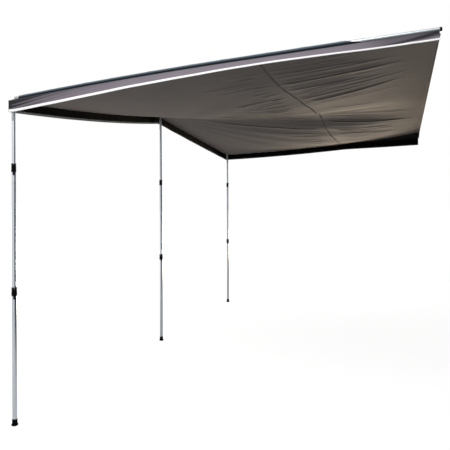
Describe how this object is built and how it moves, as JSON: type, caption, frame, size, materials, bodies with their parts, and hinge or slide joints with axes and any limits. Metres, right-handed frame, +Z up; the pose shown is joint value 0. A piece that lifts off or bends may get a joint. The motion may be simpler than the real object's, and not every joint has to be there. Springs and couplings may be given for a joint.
{
  "type": "caravan sun canopy",
  "caption": "Open sun canopy for a caravan wall: cloth roof with a rail bead, sleeved telescopic rafters, bound valances and telescopic front legs.",
  "frame": {"origin": "centre of the rail bead at the middle of the canopy's length", "axes": "+X along the wall, to the right as seen from outside; +Y towards the wall; +Z up"},
  "size_m": [4.0584, 2.4148, 2.171],
  "materials": {
    "roof_cloth": "woven polyester with a matt coating, taupe grey",
    "valance_cloth": "woven polyester, warm grey",
    "sleeve_cloth": "woven polyester, navy black",
    "white_tape": "woven binding tape, white",
    "bead_vinyl": "soft vinyl kador bead, dark grey",
    "aluminium": "drawn tube, satin",
    "steel": "zinc plated steel and nickel plated brass, satin",
    "black_nylon": "moulded nylon, black",
    "grey_nylon": "moulded nylon, dark grey",
    "rubber": "moulded rubber, black"
  },
  "bodies": {
    "canopy": {"roof_sheet": "roof_cloth", "rail_bead": "bead_vinyl", "front_valance": "valance_cloth", "front_binding": "white_tape", "right_valance": "valance_cloth", "right_binding": "white_tape", "left_valance": "valance_cloth", "left_binding": "white_tape", "right_rafter_outer_tube": "aluminium", "right_rafter_sleeve": "sleeve_cloth", "right_rafter_eye": "grey_nylon", "left_rafter_outer_tube": "aluminium", "left_rafter_sleeve": "sleeve_cloth", "left_rafter_eye": "grey_nylon", "right_eyelet": "steel", "centre_eyelet": "steel", "left_eyelet": "steel"},
    "right_rafter_inner": {"right_rafter_inner_tube": "aluminium", "right_rafter_cam_plug": "black_nylon", "right_wall_pad": "rubber"},
    "left_rafter_inner": {"left_rafter_inner_tube": "aluminium", "left_rafter_cam_plug": "black_nylon", "left_wall_pad": "rubber"},
    "right_leg_upper": {"right_upper_tube": "aluminium", "right_top_cap": "grey_nylon", "right_spigot": "steel"},
    "right_leg_middle": {"right_middle_tube": "aluminium", "right_upper_collar": "black_nylon", "right_upper_lever_pin": "steel"},
    "right_leg_lower": {"right_lower_tube": "aluminium", "right_foot": "rubber", "right_lower_collar": "black_nylon", "right_lower_lever_pin": "steel"},
    "right_upper_lever": {"right_upper_lever": "black_nylon"},
    "right_lower_lever": {"right_lower_lever": "black_nylon"},
    "centre_leg_upper": {"centre_upper_tube": "aluminium", "centre_top_cap": "grey_nylon", "centre_spigot": "steel"},
    "centre_leg_middle": {"centre_middle_tube": "aluminium", "centre_upper_collar": "black_nylon", "centre_upper_lever_pin": "steel"},
    "centre_leg_lower": {"centre_lower_tube": "aluminium", "centre_foot": "rubber", "centre_lower_collar": "black_nylon", "centre_lower_lever_pin": "steel"},
    "centre_upper_lever": {"centre_upper_lever": "black_nylon"},
    "centre_lower_lever": {"centre_lower_lever": "black_nylon"},
    "left_leg_upper": {"left_upper_tube": "aluminium", "left_top_cap": "grey_nylon", "left_spigot": "steel"},
    "left_leg_middle": {"left_middle_tube": "aluminium", "left_upper_collar": "black_nylon", "left_upper_lever_pin": "steel"},
    "left_leg_lower": {"left_lower_tube": "aluminium", "left_foot": "rubber", "left_lower_collar": "black_nylon", "left_lower_lever_pin": "steel"},
    "left_upper_lever": {"left_upper_lever": "black_nylon"},
    "left_lower_lever": {"left_lower_lever": "black_nylon"}
  },
  "joints": [
    {"name": "right_rafter_slide", "type": "slide", "parent": "canopy", "child": "right_rafter_inner", "axis": [0, 0.9988, 0.0499], "range_m": [-0.25, 0.1]},
    {"name": "left_rafter_slide", "type": "slide", "parent": "canopy", "child": "left_rafter_inner", "axis": [0, 0.997, 0.0778], "range_m": [-0.25, 0.1]},
    {"name": "right_leg_swivel", "type": "hinge", "parent": "canopy", "child": "right_leg_upper", "pos_m": [1.98, -2.38, 0], "axis": [0, 0, 1], "continuous": true},
    {"name": "right_upper_slide", "type": "slide", "parent": "right_leg_upper", "child": "right_leg_middle", "axis": [0, 0, -1], "range_m": [-0.25, 0.46]},
    {"name": "right_lower_slide", "type": "slide", "parent": "right_leg_middle", "child": "right_leg_lower", "axis": [0, 0, -1], "range_m": [-0.64, 0.1]},
    {"name": "right_upper_lever_hinge", "type": "hinge", "parent": "right_leg_middle", "child": "right_upper_lever", "pos_m": [1.99444, -2.36788, -0.54135], "axis": [0.6428, -0.766, 0], "range_deg": [0, 120]},
    {"name": "right_lower_lever_hinge", "type": "hinge", "parent": "right_leg_lower", "child": "right_lower_lever", "pos_m": [1.99578, -2.36676, -1.287], "axis": [0.6428, -0.766, 0], "range_deg": [0, 120]},
    {"name": "centre_leg_swivel", "type": "hinge", "parent": "canopy", "child": "centre_leg_upper", "pos_m": [0, -2.38, 0], "axis": [0, 0, 1], "continuous": true},
    {"name": "centre_upper_slide", "type": "slide", "parent": "centre_leg_upper", "child": "centre_leg_middle", "axis": [0, 0, -1], "range_m": [-0.47, 0.238]},
    {"name": "centre_lower_slide", "type": "slide", "parent": "centre_leg_middle", "child": "centre_leg_lower", "axis": [0, 0, -1], "range_m": [-0.64, 0.12]},
    {"name": "centre_upper_lever_hinge", "type": "hinge", "parent": "centre_leg_middle", "child": "centre_upper_lever", "pos_m": [0.01444, -2.36788, -0.56935], "axis": [0.6428, -0.766, 0], "range_deg": [0, 120]},
    {"name": "centre_lower_lever_hinge", "type": "hinge", "parent": "centre_leg_lower", "child": "centre_lower_lever", "pos_m": [0.01578, -2.36676, -1.287], "axis": [0.6428, -0.766, 0], "range_deg": [0, 120]},
    {"name": "left_leg_swivel", "type": "hinge", "parent": "canopy", "child": "left_leg_upper", "pos_m": [-1.98, -2.38, 0], "axis": [0, 0, 1], "continuous": true},
    {"name": "left_upper_slide", "type": "slide", "parent": "left_leg_upper", "child": "left_leg_middle", "axis": [0, 0, -1], "range_m": [-0.25, 0.46]},
    {"name": "left_lower_slide", "type": "slide", "parent": "left_leg_middle", "child": "left_leg_lower", "axis": [0, 0, -1], "range_m": [-0.64, 0.1]},
    {"name": "left_upper_lever_hinge", "type": "hinge", "parent": "left_leg_middle", "child": "left_upper_lever", "pos_m": [-1.96556, -2.36788, -0.54135], "axis": [0.6428, -0.766, 0], "range_deg": [0, 120]},
    {"name": "left_lower_lever_hinge", "type": "hinge", "parent": "left_leg_lower", "child": "left_lower_lever", "pos_m": [-1.96422, -2.36676, -1.287], "axis": [0.6428, -0.766, 0], "range_deg": [0, 120]}
  ]
}
